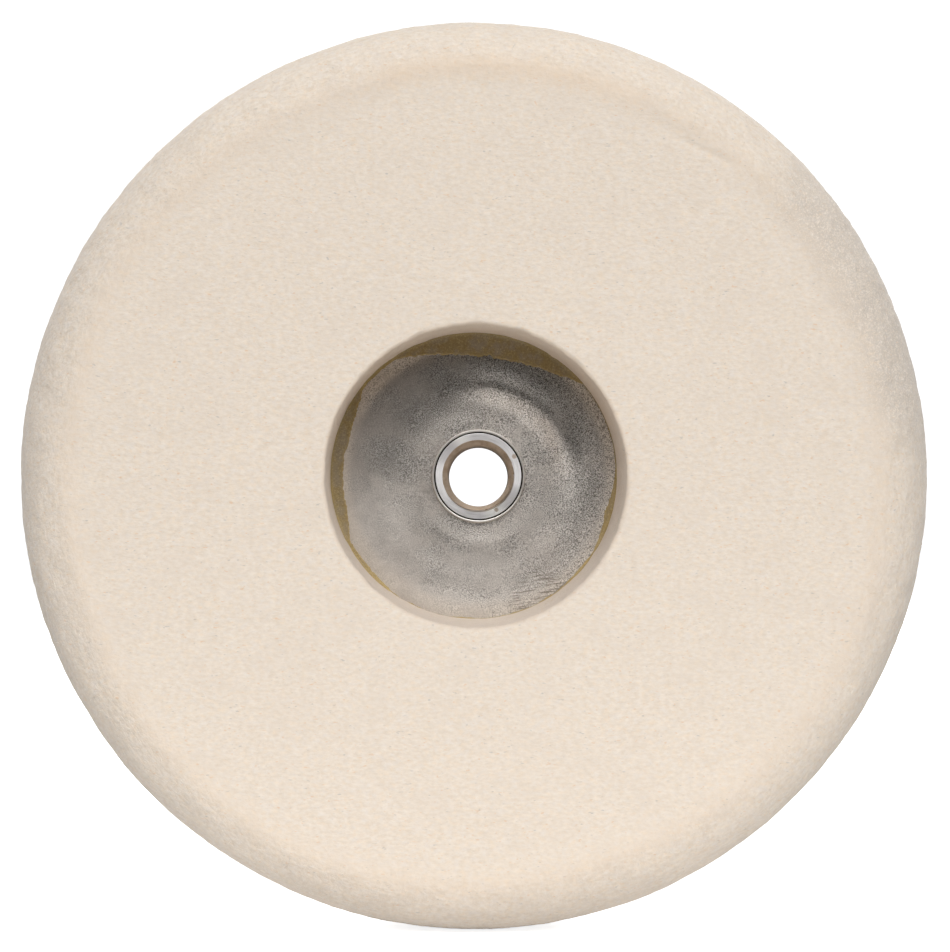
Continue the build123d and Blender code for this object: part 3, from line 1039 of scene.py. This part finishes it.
def make_welds(material):
    """Three beads, each closed by its root behind the corner."""
    vertices, faces = [], []
    for number in range(WELD_COUNT):
        points = weld_points()
        root = np.broadcast_arrays(points[:, :1, 0], WELD_Y - WELD_SUNK, HEX_APOTHEM - WELD_SUNK)
        points = np.concatenate([points, np.stack(root, -1)], 1)
        turn = np.array(Matrix.Rotation(number * TAU / WELD_COUNT, 3, "Y"))
        start = sum(len(v) for v in vertices)
        vertices.append(points.reshape(-1, 3) @ turn.T)
        faces.append(grid_faces(*points.shape[:2], False, True) + start)
    piece = new_object("weld_beads", np.concatenate(vertices) + PLATE_SHIFT, np.concatenate(faces))
    return add_piece(piece, "hub_weld_beads", "weld_steel", material)


def weld_material():
    """Dark scaly weld metal."""
    n = Nodes("weld steel")
    scale = n.texture(n.position, 0.9 * MM, 4, 0.65)
    colour = n.mix(n.ranged(scale, 0.35, 0.68), (0.36, 0.33, 0.31), (0.16, 0.14, 0.14))
    n.set(
        Base_Color=colour,
        Metallic=0.9,
        Roughness=n.ranged(scale, 0.3, 0.7, 0.3, 0.6),
        Normal=n.bump(scale, 0.08 * MM, 0.5),
    )
    return n.material


# ---------------------------------------------------------------- studio

CAMERA_DISTANCE = 425 * MM  # from the polishing face
CAMERA_TILT = np.radians(0.67)
LENS, SENSOR = 87.4664, 36  # in millimetres, as Blender takes them
CAMERA_X, CAMERA_Z = -0.55 * MM, -5.5 * MM
FLOOR_SIZE = 8
FLOOR_GAP = 0.6 * MM  # under the CAD box
# The floor's glow and the share of light it throws back: distances between which it changes, values there
FLOOR_GLOW = (0.12, 0.5, 0.85, 1.05)
FLOOR_BOUNCE = (0.14, 0.26, 0.85, 0.05)
DIM_STUDIO = (0.05, 0.05, 0.05, 1)
WHITE = (1.1, 1.1, 1.1, 1)
LIGHT_DISTANCE = 1.3
# Softboxes: (name, degrees right of the front, degrees up, width, height, power)
SOFTBOXES = (
    ("front", 0, 22, 0.9, 0.45, 3.6),
    ("front_high", 0, 41, 0.9, 0.45, 7.7),
    ("top", 0, 60, 0.9, 0.45, 1.8),
    ("front_left", -40, 35, 0.8, 0.6, 2.9),
    ("front_right", 40, 35, 0.8, 0.6, 5.0),
    ("back_left", -140, 25, 0.9, 0.6, 8.5),
    ("back_right", 140, 25, 0.9, 0.6, 8.5),
)


def make_floor():
    """A pale floor that reads as white to the camera and keeps its soft contact shadow."""
    bpy.ops.mesh.primitive_plane_add(size=FLOOR_SIZE, location=(0, 0, CAD_BOX[0].z - FLOOR_GAP))
    floor = bpy.context.object
    floor.name = "floor"
    n = Nodes("pale floor")
    seen = n.add("ShaderNodeLightPath").outputs["Is Camera Ray"]
    near = n.add("ShaderNodeVectorMath", operation="LENGTH")
    n.feed(near.inputs[0], n.position)
    bounce = n.ranged(near.outputs["Value"], *FLOOR_BOUNCE)
    glow = n.ranged(near.outputs["Value"], *FLOOR_GLOW)
    n.set(
        Base_Color=n.mix(seen, n.grey(bounce), (0.9, 0.9, 0.9)),
        Roughness=0.8,
        Specular_IOR_Level=0.1,
        Emission_Color=(1, 1, 1, 1),
        Emission_Strength=n.times(seen, glow),
    )
    floor.data.materials.append(n.material)


def make_world():
    """White to the camera and dim to everything else."""
    world = bpy.data.worlds.new("studio")
    bpy.context.scene.world = world
    world.use_nodes = True
    tree = world.node_tree
    path = tree.nodes.new("ShaderNodeLightPath")
    mix = tree.nodes.new("ShaderNodeMix")
    mix.data_type = "RGBA"
    tree.links.new(path.outputs["Is Camera Ray"], mix.inputs[0])
    mix.inputs[6].default_value = DIM_STUDIO
    mix.inputs[7].default_value = WHITE
    tree.links.new(mix.outputs[2], tree.nodes["Background"].inputs["Color"])


def make_softbox(name, turn, rise, width, height, power):
    """A rectangular light at a bearing from the wheel, facing it."""
    light = bpy.data.lights.new(name, "AREA")
    light.shape = "RECTANGLE"
    light.size, light.size_y, light.energy = width, height, power
    lamp = bpy.data.objects.new(name, light)
    bpy.context.scene.collection.objects.link(lamp)
    turn, rise = np.radians(turn), np.radians(rise)
    bearing = Vector((np.cos(rise) * np.sin(turn), -np.cos(rise) * np.cos(turn), np.sin(rise)))
    lamp.location = bearing * LIGHT_DISTANCE
    lamp.rotation_euler = bearing.to_track_quat("Z", "Y").to_euler()


def make_camera():
    """A long lens in front of the wheel, tilted up a little, as in the photograph."""
    lens = bpy.data.cameras.new("camera")
    lens.sensor_width = SENSOR
    lens.lens = LENS
    lens.clip_start, lens.clip_end = 0.01, 20
    camera = bpy.data.objects.new("camera", lens)
    bpy.context.scene.collection.objects.link(camera)
    camera.location = (CAMERA_X, FACE_Y - CAMERA_DISTANCE, CAMERA_Z)
    camera.rotation_euler = (TAU / 4 + CAMERA_TILT, 0, 0)
    bpy.context.scene.camera = camera


make_felt(felt_material(), fibre_material())
make_plate(plate_material())
make_adhesive(adhesive_material())
make_hub(hub_material(), thread_material())
make_welds(weld_material())

make_floor()
make_world()
make_camera()
for softbox in SOFTBOXES:
    make_softbox(*softbox)
bpy.context.scene.view_settings.view_transform = "Standard"
